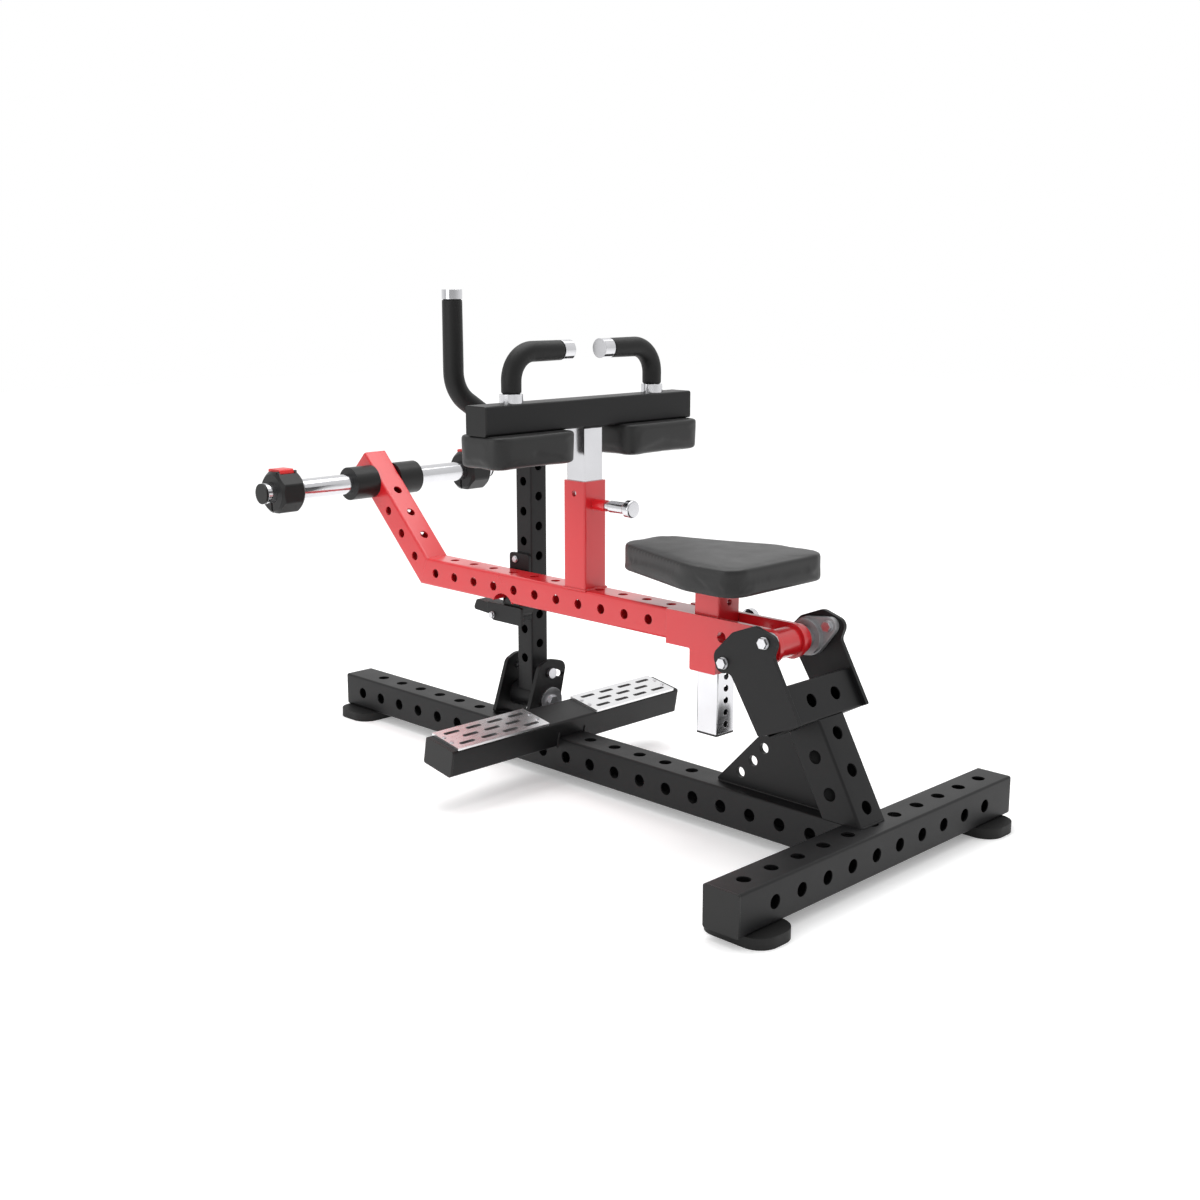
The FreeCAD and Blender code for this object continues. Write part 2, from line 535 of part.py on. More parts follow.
# ---- thigh rest -------------------------------------------------------------------------------------
pad_top = PAD_LOW + PAD_HIGH
thigh_holes = [V(0, THIGH_Y - POST / 2, THIGH_PIN_Z - PIN_PITCH * k) for k in range(7)]
save("thigh_post", post(THIGH_Y, THIGH_POST_LOW, pad_top, thigh_holes, Y))
beam_z = pad_top + THIGH_BEAM / 2
save("thigh_beam", tube(THIGH_BEAM, THIGH_BEAM, 3, 5, V(4 - THIGH_HALF, THIGH_Y, beam_z), X, Z,
                        2 * (THIGH_HALF - 4)))
for side, name in ((-1, "left"), (1, "right")):
    save("thigh_caps", end_cap(THIGH_BEAM, THIGH_BEAM, 3, 5, V(side * (THIGH_HALF - 4), THIGH_Y, beam_z), X * side,
                               Z, 4))
    inner_x, outer_x = sorted((side * 75, side * 305))
    save("thigh_pad_" + name, plate([(inner_x, 704, 25), (outer_x, 704, 25), (outer_x, 828, 25),
                                     (inner_x, 828, 25)], "xy", PAD_LOW, pad_top))
    base = pad_top + THIGH_BEAM
    foot_at = V(side * HANDLE_X, THIGH_Y, base)
    route = [foot_at, V(side * HANDLE_X, THIGH_Y, HANDLE_Z), V(side * (HANDLE_END + GRIP_CAP), THIGH_Y, HANDLE_Z)]
    grip_route = [foot_at + Z * 19] + route[1:]
    bar = swept(route, HANDLE_BEND, BAR)
    save("handle_bars", bar)
    save("handle_grip_" + name, swept(grip_route, HANDLE_BEND, GRIP).cut(bar))
    save("handle_bars", ring(GRIP + 6, BAR, foot_at, foot_at + Z * 19))
    end = V(side * HANDLE_END, THIGH_Y, HANDLE_Z)
    save("handle_bars", rod(GRIP, end, end + X * side * GRIP_CAP))

# ---- catch ------------------------------------------------------------------------------------------
catch_at = V(CATCH_X, CATCH_POST_Y, CATCH_PIVOT_Z)
post_low = CATCH_PIVOT_Z + 20
c = CATCH / 2
catch_post = tube(CATCH, CATCH, 3, 4, V(CATCH_X, CATCH_POST_Y, post_low), Z, Y, CATCH_TOP - post_low)
catch_post = drilled(catch_post, [V(CATCH_X - c, CATCH_POST_Y, 233 + 69.2 * k) for k in range(8)], X, 21, 10)
catch_post = drilled(catch_post, [V(CATCH_X, CATCH_POST_Y - c, 268 + 69.2 * k) for k in range(7)], Y, 21, 10)
barrel_half = EAR_GAP - 1
barrel = ring(BARREL, PIVOT_BOLT + 2 * RUN, catch_at - Y * barrel_half, catch_at + Y * barrel_half)
catch_post = catch_post.cut(rod(BARREL, catch_at - Y * 100, catch_at + Y * 100))
stop = catch_at + Z * SLOT_R
catch_post = drilled(catch_post, [stop], Y, STOP_BOLT, 80)
save("catch_post", catch_post)
save("catch_post", barrel)
save("catch_cap", end_cap(CATCH, CATCH, 3, 4, V(CATCH_X, CATCH_POST_Y, CATCH_TOP), Z, Y, 3))
ear_out = EAR_GAP + EAR
stop_bolt = rod(STOP_BOLT, stop - Y * (ear_out + 8), stop + Y * (ear_out + 8))
stop_bolt = stop_bolt.fuse([rod(24, stop + Y * s * (ear_out + 1), stop + Y * s * (ear_out + 9)) for s in (-1, 1)])
save("catch_stop_bolt", stop_bolt.removeSplitter())

ear_outline = [(-4, RAIL_TOP, 4), (38, 222, 20), (72, 236, 40), (124, 222, 20), (101, 125, 10), (92, 60, 10),
               (BASE / 2, 60, 0), (BASE / 2, RAIL_TOP, 0)]


def arc_slot(y0, y1):
    """Slot that the stop bolt runs in, from upright to the full swing."""
    spread = STOP_BOLT / 2 + 0.6
    outer, inner = SLOT_R + spread, SLOT_R - spread
    ends = [catch_at + V(SLOT_R * math.sin(math.radians(a)), 0, SLOT_R * math.cos(math.radians(a)))
            for a in (0, SWING)]
    sweep = [math.radians(a) for a in (0, SWING / 2, SWING)]
    far = [V(CATCH_X + outer * math.sin(a), y0, CATCH_PIVOT_Z + outer * math.cos(a)) for a in sweep]
    near = [V(CATCH_X + inner * math.sin(a), y0, CATCH_PIVOT_Z + inner * math.cos(a)) for a in sweep]
    edges = [Part.Arc(*far).toShape(), Part.LineSegment(far[2], near[2]).toShape(),
             Part.Arc(near[2], near[1], near[0]).toShape(), Part.LineSegment(near[0], far[0]).toShape()]
    band = Part.Face(Part.Wire(edges)).extrude(Y * (y1 - y0))
    return band.fuse([rod(2 * spread, V(e.x, y0, e.z), V(e.x, y1, e.z)) for e in ends])


for side, name in ((-1, "rear"), (1, "front")):
    y0, y1 = sorted((CATCH_POST_Y + side * EAR_GAP, CATCH_POST_Y + side * ear_out))
    ear = plate(ear_outline, "xz", y0, y1)
    ear = ear.cut(arc_slot(y0 - 1, y1 + 1))
    save("catch_ear_" + name, ear.cut(rod(PIVOT_BOLT, catch_at - Y * 200, catch_at + Y * 200)))
pivot_bolt = rod(PIVOT_BOLT, catch_at - Y * (ear_out + 4), catch_at + Y * (ear_out + 4))
washers = [rod(64, catch_at + Y * s * ear_out, catch_at + Y * s * (ear_out + 5)) for s in (-1, 1)]
heads = [hex_bolt(24, 9, catch_at + Y * s * (ear_out + 5), Y * s) for s in (-1, 1)]
save("catch_pivot_bolt", pivot_bolt.fuse(washers + heads).removeSplitter())

hook_face = CATCH_X - c
hook_top = ARM_Z - half - 13.5
hook_back = plate([(CATCH_POST_Y - c, 327, 3), (CATCH_POST_Y - c, 481, 8), (1055, 481, 8), (1055, 400, 14),
                   (1080, hook_top, 8), (1080, 327, 8)], "yz", hook_face - 8, hook_face)
save("catch_hook", hook_back)
cheek_x = -8.0
hook_cheek = plate([(962, hook_top, 4), (962, 326, 4), (1060, 326, 14), (1078, 345, 10), (1078, hook_top, 4)],
                   "yz", cheek_x - 4, cheek_x + 4)
save("catch_hook", hook_cheek)
web = plate([(985, hook_top - 12, 3), (985, 330, 3), (1137, 340, 6), (1125, hook_top - 2, 6)], "yz",
            cheek_x + 4, hook_face - 8)
roller_z = SADDLE_Z - 3
save("catch_hook", web.cut(rod(54, V(-50, CATCH_Y, roller_z), V(100, CATCH_Y, roller_z))))
save("hook_roller", rod(54, V(cheek_x + 4, CATCH_Y, roller_z), V(hook_face - 8, CATCH_Y, roller_z)))
hook_bolts = [hex_bolt(13, 4.5, V(hook_face - 8, 1035, 466), -X), hex_bolt(13, 7, V(cheek_x - 4, 1060, 338), -X)]
save("hook_bolts", *hook_bolts)

slope = math.radians(CATCH_SLOPE)
face_x = CATCH_X - c
face_z = CORNER_Z - (face_x - GRIP_X) * math.tan(slope)
grip_at = V(GRIP_X, CATCH_POST_Y, CORNER_Z)
arm_route = [V(face_x - 1, CATCH_POST_Y, face_z), grip_at, V(GRIP_X, CATCH_POST_Y, GRIP_TOP - 20)]
start = V(face_x - 60, CATCH_POST_Y, CORNER_Z - (face_x - 60 - GRIP_X) * math.tan(slope))
grip_route = [start, grip_at, V(GRIP_X, CATCH_POST_Y, GRIP_TOP - 20)]
catch_bar = swept(arm_route, CATCH_BEND, BAR)
catch_bar = catch_bar.cut(box(face_x, face_x + 100, CATCH_POST_Y - 50, CATCH_POST_Y + 50, 600, 900))
save("catch_handle_bar", catch_bar)
save("catch_handle_grip", swept(grip_route, CATCH_BEND, GRIP + 2).cut(catch_bar))
save("catch_handle_bar", rod(GRIP + 2, V(GRIP_X, CATCH_POST_Y, GRIP_TOP - 20), V(GRIP_X, CATCH_POST_Y, GRIP_TOP)))

for name, solids in nodes.items():
    shape = solids[0] if len(solids) == 1 else Part.makeCompound(solids)
    shape.translate(V(0, -MIDDLE_Y, 0))
    shape.exportStep("parts/" + name + ".step")
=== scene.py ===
import math
import bpy
import numpy as np
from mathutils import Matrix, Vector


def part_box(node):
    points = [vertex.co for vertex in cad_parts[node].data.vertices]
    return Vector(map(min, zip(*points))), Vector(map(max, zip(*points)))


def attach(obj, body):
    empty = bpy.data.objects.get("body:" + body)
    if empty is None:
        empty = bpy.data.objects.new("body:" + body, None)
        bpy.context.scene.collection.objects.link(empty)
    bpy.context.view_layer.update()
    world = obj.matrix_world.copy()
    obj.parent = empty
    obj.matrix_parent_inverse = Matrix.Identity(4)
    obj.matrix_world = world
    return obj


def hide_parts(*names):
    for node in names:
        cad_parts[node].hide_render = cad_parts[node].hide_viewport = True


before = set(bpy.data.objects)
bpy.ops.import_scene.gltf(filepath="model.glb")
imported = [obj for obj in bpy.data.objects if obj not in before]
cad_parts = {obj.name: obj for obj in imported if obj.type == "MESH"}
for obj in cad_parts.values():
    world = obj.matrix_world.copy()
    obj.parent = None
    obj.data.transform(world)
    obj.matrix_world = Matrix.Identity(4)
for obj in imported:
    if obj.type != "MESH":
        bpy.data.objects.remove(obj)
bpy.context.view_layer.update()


# ---- Camera and studio ------------------------------------------------------------------------------
# The machine stands on a plain pale floor in a white room, seen from behind its left corner at chest
# height. A wide soft light hangs overhead and a weaker one stands on the near side, where the room is
# dimmer, so that the metal and the black coat have something darker to mirror.
CAMERA_AT = (-2.2787, -2.3145, 1.1135)
CAMERA_DOWN = 77.88          # degrees from straight down
CAMERA_TURN = -45.10         # degrees about the vertical
CAMERA_LENS = 45.7           # millimetres
SENSOR = 36                  # millimetres
FAR_SIDE = (0.72, 0.69, 0.10)                # direction in which the room is brightest
NEAR_GLOW = 0.55             # the room's strength on the near side; the far side's is 1

camera = bpy.data.objects.new("camera", bpy.data.cameras.new("camera"))
camera.data.lens = CAMERA_LENS
camera.data.sensor_width = SENSOR
camera.location = CAMERA_AT
camera.rotation_euler = (math.radians(CAMERA_DOWN), 0, math.radians(CAMERA_TURN))
bpy.context.scene.collection.objects.link(camera)
bpy.context.scene.camera = camera

bpy.context.scene.view_settings.view_transform = "Standard"
world = bpy.data.worlds.new("white_room")
bpy.context.scene.world = world
world.use_nodes = True
sky = world.node_tree.nodes["Background"]
place = world.node_tree.nodes.new("ShaderNodeTexCoord")
ahead = world.node_tree.nodes.new("ShaderNodeVectorMath")
ahead.operation = "DOT_PRODUCT"
ahead.inputs[1].default_value = FAR_SIDE
shade = world.node_tree.nodes.new("ShaderNodeMapRange")
for key, value in (("From Min", -0.9), ("From Max", 0.35), ("To Min", NEAR_GLOW), ("To Max", 1.0)):
    shade.inputs[key].default_value = value
world.node_tree.links.new(place.outputs["Generated"], ahead.inputs[0])
world.node_tree.links.new(ahead.outputs["Value"], shade.inputs["Value"])
world.node_tree.links.new(shade.outputs["Result"], sky.inputs["Strength"])
sky.inputs["Color"].default_value = (1, 1, 1, 1)


def soft_light(name, at, look_at, size, watts):
    """Square area lamp at a point, turned so that it faces another point."""
    lamp = bpy.data.objects.new(name, bpy.data.lights.new(name, "AREA"))
    lamp.data.size = size
    lamp.data.energy = watts
    lamp.location = at
    way = Vector(look_at) - Vector(at)
    lamp.rotation_euler = way.to_track_quat("-Z", "Y").to_euler()
    bpy.context.scene.collection.objects.link(lamp)


soft_light("overhead", (0.3, 0.3, 2.9), (0, 0, 0.3), 2.4, 48)
soft_light("near_side", (-2.8, 0.2, 1.5), (0, 0, 0.4), 1.6, 20)


# ---- Powder-coated base frame -----------------------------------------------------------------------
# The base tubes, the leaning tower, its cheeks and the catch are welded steel, sprayed with a black
# textured powder and baked. The coat is even, with a fine peel and slightly paler rubbed edges.
def add(tree, kind, values=None, **settings):
    """One shader node, with its settings and the values of its unlinked sockets."""
    made = tree.nodes.new(kind)
    for key, value in settings.items():
        setattr(made, key, value)
    for key, value in (values or {}).items():
        made.inputs[key].default_value = value
    return made


def new_group(name, inputs, outputs):
    """Empty node group with named sockets, each given as (name, kind, value)."""
    group = bpy.data.node_groups.new(name, "ShaderNodeTree")
    for label, kind, value in inputs:
        socket = group.interface.new_socket(label, in_out="INPUT", socket_type="NodeSocket" + kind)
        if value is not None:
            socket.default_value = value
    for label, kind in outputs:
        group.interface.new_socket(label, in_out="OUTPUT", socket_type="NodeSocket" + kind)
    return group, group.nodes.new("NodeGroupInput"), group.nodes.new("NodeGroupOutput")


def grain_group():
    """Fine relief and slow drift. Relief is noise at Grain per metre; drift is noise at a hand's width, and
    it moves the colour's value and the roughness. Edges come from how far a rounded normal turns away."""
    group, into, out = new_group("coat_grain", [
        ("Colour", "Color", (0.5, 0.5, 0.5, 1)), ("Rubbed", "Color", (0.5, 0.5, 0.5, 1)),
        ("Grain", "Float", 900.0), ("Depth", "Float", 0.00008), ("Drift", "Float", 0.12),
        ("Roughness", "Float", 0.4), ("Wear", "Float", 0.3)],
        [("Colour", "Color"), ("Roughness", "Float"), ("Normal", "Vector")])
    link = group.links.new
    place = add(group, "ShaderNodeTexCoord")
    fine = add(group, "ShaderNodeTexNoise", {"Detail": 3.0, "Roughness": 0.6})
    slow = add(group, "ShaderNodeTexNoise", {"Scale": 11.0, "Detail": 4.0, "Roughness": 0.55})
    link(place.outputs["Object"], fine.inputs["Vector"])
    link(place.outputs["Object"], slow.inputs["Vector"])
    link(into.outputs["Grain"], fine.inputs["Scale"])
    soft = add(group, "ShaderNodeBevel", {"Radius": 0.0011}, samples=4)
    bump = add(group, "ShaderNodeBump", {"Strength": 1.0})
    link(into.outputs["Depth"], bump.inputs["Distance"])
    link(fine.outputs["Fac"], bump.inputs["Height"])
    link(soft.outputs["Normal"], bump.inputs["Normal"])
    link(bump.outputs["Normal"], out.inputs["Normal"])
    hard = add(group, "ShaderNodeNewGeometry")
    facing = add(group, "ShaderNodeVectorMath", operation="DOT_PRODUCT")
    link(soft.outputs["Normal"], facing.inputs[0])
    link(hard.outputs["Normal"], facing.inputs[1])
    edge = add(group, "ShaderNodeMapRange",
               {"From Min": 0.98, "From Max": 0.80, "To Min": 0.0, "To Max": 1.0})
    link(facing.outputs["Value"], edge.inputs["Value"])
    broken = add(group, "ShaderNodeMath", operation="MULTIPLY")
    link(edge.outputs["Result"], broken.inputs[0])
    link(slow.outputs["Fac"], broken.inputs[1])
    worn = add(group, "ShaderNodeMath", operation="MULTIPLY")
    link(broken.outputs["Value"], worn.inputs[0])
    link(into.outputs["Wear"], worn.inputs[1])
    centred = add(group, "ShaderNodeMath", {1: 0.5}, operation="SUBTRACT")
    link(slow.outputs["Fac"], centred.inputs[0])
    spread = add(group, "ShaderNodeMath", {2: 1.0}, operation="MULTIPLY_ADD")
    link(centred.outputs["Value"], spread.inputs[0])
    link(into.outputs["Drift"], spread.inputs[1])
    tinted = add(group, "ShaderNodeHueSaturation")
    link(spread.outputs["Value"], tinted.inputs["Value"])
    link(into.outputs["Colour"], tinted.inputs["Color"])
    mixed = add(group, "ShaderNodeMix", data_type="RGBA")
    link(worn.outputs["Value"], mixed.inputs[0])
    link(tinted.outputs["Color"], mixed.inputs[6])
    link(into.outputs["Rubbed"], mixed.inputs[7])
    link(mixed.outputs[2], out.inputs["Colour"])
    rough = add(group, "ShaderNodeMath", operation="MULTIPLY")
    link(spread.outputs["Value"], rough.inputs[0])
    link(into.outputs["Roughness"], rough.inputs[1])
    link(rough.outputs["Value"], out.inputs["Roughness"])
    return group


GRAIN = grain_group()


def finish(name, colour, rubbed, grain, depth, drift, roughness, wear, **shader):
    """Material: one Principled shader, its colour, roughness and normal from the grain group."""
    made = bpy.data.materials.new(name)
    made.use_nodes = True
    tree = made.node_tree
    skin = add(tree, "ShaderNodeGroup", node_tree=GRAIN)
    values = {"Colour": (*colour, 1), "Rubbed": (*rubbed, 1), "Grain": grain, "Depth": depth, "Drift": drift,
              "Roughness": roughness, "Wear": wear}
    for key, value in values.items():
        skin.inputs[key].default_value = value
    lit = tree.nodes["Principled BSDF"]
    tree.links.new(skin.outputs["Colour"], lit.inputs["Base Color"])
    tree.links.new(skin.outputs["Roughness"], lit.inputs["Roughness"])
    tree.links.new(skin.outputs["Normal"], lit.inputs["Normal"])
    for key, value in shader.items():
        lit.inputs[key.replace("_", " ")].default_value = value
    return made


def dress(names, material):
    """Give CAD nodes a material and even shading: welded corners, split again where they turn sharply."""
    for name in names:
        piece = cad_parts[name]
        piece.data.materials.clear()
        piece.data.materials.append(material)
        piece.data.shade_smooth()
        piece.modifiers.new("weld", "WELD").merge_threshold = 0.00001
        piece.modifiers.new("corners", "EDGE_SPLIT").split_angle = math.radians(28)


black_coat = finish("black_coat", (0.007, 0.007, 0.0075), (0.05, 0.05, 0.052), 1500, 0.00006, 0.35, 0.44, 0.5,
                    Specular_IOR_Level=0.26)
dress(["main_rail", "rear_beam", "footrest_beam", "tower_tube", "tower_head", "tower_gusset",
       "tower_cheek_left", "tower_cheek_right", "catch_ear_rear", "catch_ear_front", "catch_post",
       "catch_hook", "thigh_beam", "seat_plate"], black_coat)


# ---- Moulded end caps, clips, collars and feet ------------------------------------------------------
# Black nylon caps close every open tube, and the stop collars and spring clips are moulded too. The
# three feet are harder rubber, dull and a little dusty where the floor is swept.
black_nylon = finish("black_nylon", (0.007, 0.007, 0.007),
                     (0.05, 0.05, 0.05), 2600, 0.00003, 0.15, 0.38, 0.25,
                     Specular_IOR_Level=0.3)
foot_rubber = finish("foot_rubber", (0.008, 0.008, 0.008), (0.05, 0.05, 0.05), 700, 0.00015, 0.4, 0.6, 0.3,
                     Specular_IOR_Level=0.3)
dress(["base_caps", "thigh_caps", "horn_caps", "catch_cap", "seat_post_plug", "horn_collars",
       "clip_body_left", "clip_body_right", "hook_roller"], black_nylon)
dress(["feet"], foot_rubber)


# ---- Red lever --------------------------------------------------------------------------------------
# The swinging arm, its riser, side plates, hub and the two sleeves are coated in a smooth glossy red.
red_coat = finish("red_coat", (0.60, 0.010, 0.016), (0.80, 0.16, 0.16), 420, 0.00003, 0.10, 0.28, 0.35,
                  Coat_Weight=0.5, Coat_Roughness=0.14)
dress(["lever_arm", "lever_riser", "lever_plates", "lever_hub", "seat_sleeve", "thigh_sleeve", "pin_bosses"],
      red_coat)
red_plastic = finish("red_plastic", (0.62, 0.013, 0.014), (0.75, 0.1, 0.1), 1800, 0.00003, 0.08, 0.33, 0.2)
dress(["clip_latch_left", "clip_latch_right"], red_plastic)


# ---- Bright steel -----------------------------------------------------------------------------------
# The posts, the weight horn, the handles' ends and the pull pins are polished chrome over steel. Bolts
# and the bearings' rings are zinc plated, their housings are cast iron, and the treads are brushed
# stainless sheet.
chrome = finish("chrome", (0.64, 0.64, 0.66), (0.80, 0.80, 0.81), 60, 0.000004, 0.30, 0.13, 0.1, Metallic=1.0)
zinc = finish("zinc", (0.62, 0.62, 0.64), (0.78, 0.78, 0.79), 1300, 0.00004, 0.3, 0.30, 0.4, Metallic=1.0)
dress(["seat_post", "thigh_post", "weight_horn", "handle_bars", "pin_barrels", "pivot_shaft",
       "catch_handle_bar", "thigh_pin", "seat_pin"], chrome)
cast_iron = finish("cast_iron", (0.36, 0.36, 0.37), (0.60, 0.60, 0.61), 900, 0.00015, 0.35, 0.50, 0.6,
                   Metallic=0.55)
dress(["bearing_housing_left", "bearing_housing_right"], cast_iron)
dress(["bearing_bolts", "bearing_rings", "tread_screws",
       "seat_bolts", "hook_bolts", "catch_stop_bolt", "catch_pivot_bolt"], zinc)


def brushed_sheet():
    """Stainless sheet: long fine streaks across the tread, from noise stretched forty times along X."""
    made = bpy.data.materials.new("brushed_sheet")
    made.use_nodes = True
    tree = made.node_tree
    link = tree.links.new
    place = add(tree, "ShaderNodeTexCoord")
    stretch = add(tree, "ShaderNodeMapping", {"Scale": (40.0, 1600.0, 1600.0)})
    streak = add(tree, "ShaderNodeTexNoise", {"Scale": 1.0, "Detail": 4.0})
    link(place.outputs["Object"], stretch.inputs["Vector"])
    link(stretch.outputs["Vector"], streak.inputs["Vector"])
    shade = add(tree, "ShaderNodeMapRange", {"To Min": 0.20, "To Max": 0.40})
    link(streak.outputs["Fac"], shade.inputs["Value"])
    relief = add(tree, "ShaderNodeBump", {"Strength": 0.6, "Distance": 0.00003})
    link(streak.outputs["Fac"], relief.inputs["Height"])
    lit = tree.nodes["Principled BSDF"]
    lit.inputs["Base Color"].default_value = (0.78, 0.78, 0.79, 1)
    lit.inputs["Metallic"].default_value = 1.0
    link(shade.outputs["Result"], lit.inputs["Roughness"])
    link(relief.outputs["Normal"], lit.inputs["Normal"])
    return made


dress(["tread_left", "tread_right"], brushed_sheet())


# ---- Rubber grips -----------------------------------------------------------------------------------
# Each handle has a closed-cell rubber sleeve pushed on over the bend. Its ends are rolled in, and the
# wall swells a little between them, where it is stretched over the bar.
GRIP_WALL = 0.0045
GRIP_SWELL = 0.0006


def quads(rows, columns, wrap_rows=False, wrap_columns=True):
    """List of a grid's faces, row by row, joined round where a direction wraps."""
    r = np.arange(rows if wrap_rows else rows - 1)[:, None]
    c = np.arange(columns if wrap_columns else columns - 1)[None, :]
    down, side = (r + 1) % rows, (c + 1) % columns
    faces = np.stack([r * columns + c, r * columns + side, down * columns + side, down * columns + c], -1)
    return faces.reshape(-1, 4).tolist()


def piece(name, points, faces, material, body, slot):
    """Mesh object from an array of points and a list of faces, riding on a body."""
    mesh = bpy.data.meshes.new(name)
    mesh.from_pydata(points.tolist(), [], faces)
    mesh.validate()
    mesh.shade_smooth()
    mesh.materials.append(material)
    made = bpy.data.objects.new(name, mesh)
    bpy.context.scene.collection.objects.link(made)
    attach(made, body)
    return made


def bent_path(points, bend, step):
    """Points along straight runs joined by tangent arcs of one radius, about one step apart."""
    points = [np.array(p, float) for p in points]
    rows = [points[0][None]]
    last = points[0]
    for before, here, after in zip(points, points[1:], points[2:]):
        a, b = before - here, after - here
        a, b = a / np.linalg.norm(a), b / np.linalg.norm(b)
        half = math.acos(np.clip(a @ b, -1, 1)) / 2
        start = here + a * bend / math.tan(half)
        centre = here + (a + b) / np.linalg.norm(a + b) * bend / math.sin(half)
        count = max(2, int(np.linalg.norm(start - last) / step))
        rows.append(last + (start - last) * np.linspace(0, 1, count + 1)[1:, None])
        sweep = math.pi - 2 * half
        turn = np.linspace(0, sweep, max(8, int(bend * sweep / step)))[1:, None]
        rows.append(centre + (start - centre) * np.cos(turn) - a * bend * np.sin(turn))
        last = rows[-1][-1]
    count = max(2, int(np.linalg.norm(points[-1] - last) / step))
    rows.append(last + (points[-1] - last) * np.linspace(0, 1, count + 1)[1:, None])
    return np.concatenate(rows)


def carried(path, radius, sides, flat):
    """Round section of a given radius at each path point. flat is a normal of the path's plane, so the
    section's two axes are flat and the cross product of flat with the path's direction."""
    along = np.gradient(path, axis=0)
    along /= np.linalg.norm(along, axis=1)[:, None]
    flat = np.array(flat, float)
    side = np.cross(flat, along)
    side /= np.linalg.norm(side, axis=1)[:, None]
    around = np.linspace(0, 2 * math.pi, sides, endpoint=False)[None, :, None]
    ring = side[:, None] * np.cos(around) + flat * np.sin(around)
    return (path[:, None] + ring * np.asarray(radius)[:, None, None]).reshape(-1, 3)


def grip(name, node, route, bend, bar_radius, flat, body):
    """Closed sleeve: outer surface out along the path, and inner surface back, joined at both rolled ends."""
    path = bent_path(route, bend, 0.003)
    run = np.concatenate([[0], np.cumsum(np.linalg.norm(np.diff(path, axis=0), axis=1))])
    share = run / run[-1]
    lip = np.minimum(run, run[-1] - run)
    roll = np.sqrt(np.clip(1 - (1 - np.clip(lip / 0.004, 0, 1)) ** 2, 0, 1))
    outer = bar_radius + 0.0008 + GRIP_WALL * (0.25 + 0.75 * roll)
    outer -= GRIP_SWELL * (1 - np.sin(math.pi * share))
    inner = np.full(len(path), bar_radius + 0.0002)
    there = carried(path, outer, 40, flat)
    back = carried(path[::-1], inner, 40, flat).reshape(len(path), 40, 3)
    back = np.roll(back[:, ::-1], 21, axis=1).reshape(-1, 3)
    made = piece(name, np.concatenate([there, back]), quads(2 * len(path), 40, wrap_rows=True),
                 grip_rubber, body, "grip_rubber")
    outwards(made)
    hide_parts(node)


def outwards(made):
    """Point every face outwards."""
    bpy.ops.object.select_all(action="DESELECT")
    bpy.context.view_layer.objects.active = made
    made.select_set(True)
    bpy.ops.object.mode_set(mode="EDIT")
    bpy.ops.mesh.select_all(action="SELECT")
    bpy.ops.mesh.normals_make_consistent(inside=False)
    bpy.ops.object.mode_set(mode="OBJECT")


grip_rubber = finish("grip_rubber", (0.006, 0.006, 0.006), (0.03, 0.03, 0.03), 1100, 0.00025, 0.2, 0.50, 0.0,
                     Specular_IOR_Level=0.28)
BAR_RADIUS = 0.016
for side, hand in ((-1, "left"), (1, "right")):
    low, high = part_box("handle_grip_" + hand)
    middle_y = (low.y + high.y) / 2
    radius = (high.y - low.y) / 2
    foot_x = low.x + radius if side < 0 else high.x - radius
    end_x = high.x if side < 0 else low.x
    top_z = high.z - radius
    grip("grip_" + hand, "handle_grip_" + hand,
         [(foot_x, middle_y, low.z), (foot_x, middle_y, top_z), (end_x, middle_y, top_z)], 0.058, BAR_RADIUS,
         (0, 1, 0), "thigh_rest")

low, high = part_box("catch_handle_grip")
radius = (high.y - low.y) / 2
middle_y = (low.y + high.y) / 2
SLOPE = math.radians(33)
CATCH_CORNER = 0.862
grip_x = low.x + radius
run = (high.x - radius * math.sin(SLOPE)) - grip_x
grip("grip_catch", "catch_handle_grip",
     [(grip_x + run, middle_y, CATCH_CORNER - run * math.tan(SLOPE)), (grip_x, middle_y, CATCH_CORNER),
      (grip_x, middle_y, high.z)], 0.080, BAR_RADIUS + 0.001, (0, 1, 0), "catch")


# ---- Weld beads -------------------------------------------------------------------------------------
# The tubes and plates are joined by fillet welds, laid as one run of overlapping ripples and coated with
# the piece. The tower, gusset and footrest are welded to the rail, and the thigh sleeve and horn in red.
BEAD = 0.0026                # radius of a bead
RIPPLE = 0.0032              # from one ripple to the next
BEAD_STEP = 0.0009
BEAD_SIDES = 10
FOOTREST_TILT = math.radians(10.3)
FOOTREST_DEEP = 0.089
FOOTREST_HIGH = 0.060
HORN_RADIUS = 0.0245


def bead(name, corners, flat, closed, material, body, slot):
    """Run of weld along straight legs: a round section whose radius swells at every ripple and shrinks to
    the ends of an open run. flat is a normal of the plane that the run lies in."""
    corners = np.array(corners, float)
    legs = np.roll(corners, -1, axis=0) if closed else corners[1:]
    rows = []
    for start, end in zip(corners, legs):
        count = max(3, int(np.linalg.norm(end - start) / BEAD_STEP))
        rows.append(start + (end - start) * np.linspace(0, 1, count, endpoint=False)[:, None])
    if not closed:
        rows.append(corners[-1:])
    path = np.concatenate(rows)
    run = np.concatenate([[0], np.cumsum(np.linalg.norm(np.diff(path, axis=0), axis=1))])
    radius = BEAD * (1 + 0.13 * np.cos(2 * math.pi * run / RIPPLE) + 0.08 * np.sin(run * 190))
    if not closed:
        radius *= np.clip(np.minimum(run, run[-1] - run) / 0.003, 0.15, 1)
    faces = quads(len(path), BEAD_SIDES, wrap_rows=closed)
    if not closed:
        first = np.arange(BEAD_SIDES)
        faces += [first.tolist(), (first + BEAD_SIDES * (len(path) - 1))[::-1].tolist()]
    made = piece(name, carried(path, radius, BEAD_SIDES, flat), faces, material, body, slot)
    outwards(made)


